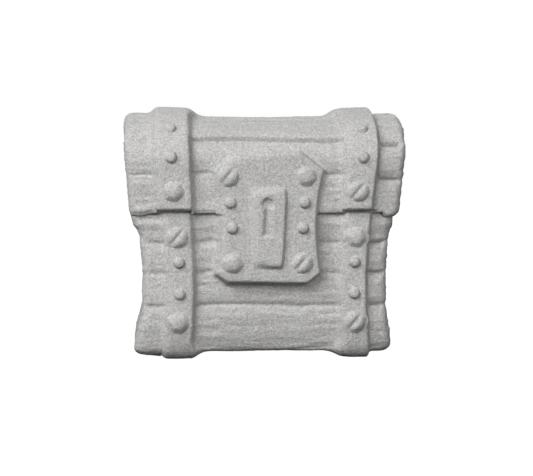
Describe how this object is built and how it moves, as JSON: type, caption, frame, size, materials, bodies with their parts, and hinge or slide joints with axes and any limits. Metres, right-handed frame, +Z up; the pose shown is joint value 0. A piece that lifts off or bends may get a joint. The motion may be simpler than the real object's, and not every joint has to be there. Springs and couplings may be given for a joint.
{
  "type": "bubbling ornament",
  "caption": "Closed treasure-chest air stone in grey sintered grit, planked and banded, with a lock plate and a rear airline nipple.",
  "frame": {"origin": "at floor level, in the middle of the whole object's box, nipple included", "axes": "+Z up, -Y towards the front with the lock plate, +X to the right seen from the front"},
  "size_m": [0.0636, 0.0497, 0.057],
  "materials": {
    "sintered_grit": "dry, evenly grainy sintered mineral grit, about 0.3 mm grains, fully rough",
    "adhesive": "set grey epoxy, satin",
    "nipple_plastic": "moulded pale polypropylene, slightly translucent"
  },
  "bodies": {
    "root": {"tub": "sintered_grit", "lid": "sintered_grit", "tub_band_left": "sintered_grit", "tub_band_right": "sintered_grit", "lid_band_left": "sintered_grit", "lid_band_right": "sintered_grit", "lock_plate": "sintered_grit", "key_plate": "sintered_grit", "lid_band_rivets": "sintered_grit", "lid_band_bolts": "sintered_grit", "lid_band_screws": "sintered_grit", "tub_band_rivets": "sintered_grit", "tub_band_bolts": "sintered_grit", "tub_band_screws": "sintered_grit", "lock_rivets": "sintered_grit", "lock_bolts": "sintered_grit", "lock_screws": "sintered_grit", "seam_bond": "adhesive", "nipple_sleeve": "adhesive", "air_nipple": "nipple_plastic"}
  },
  "joints": []
}
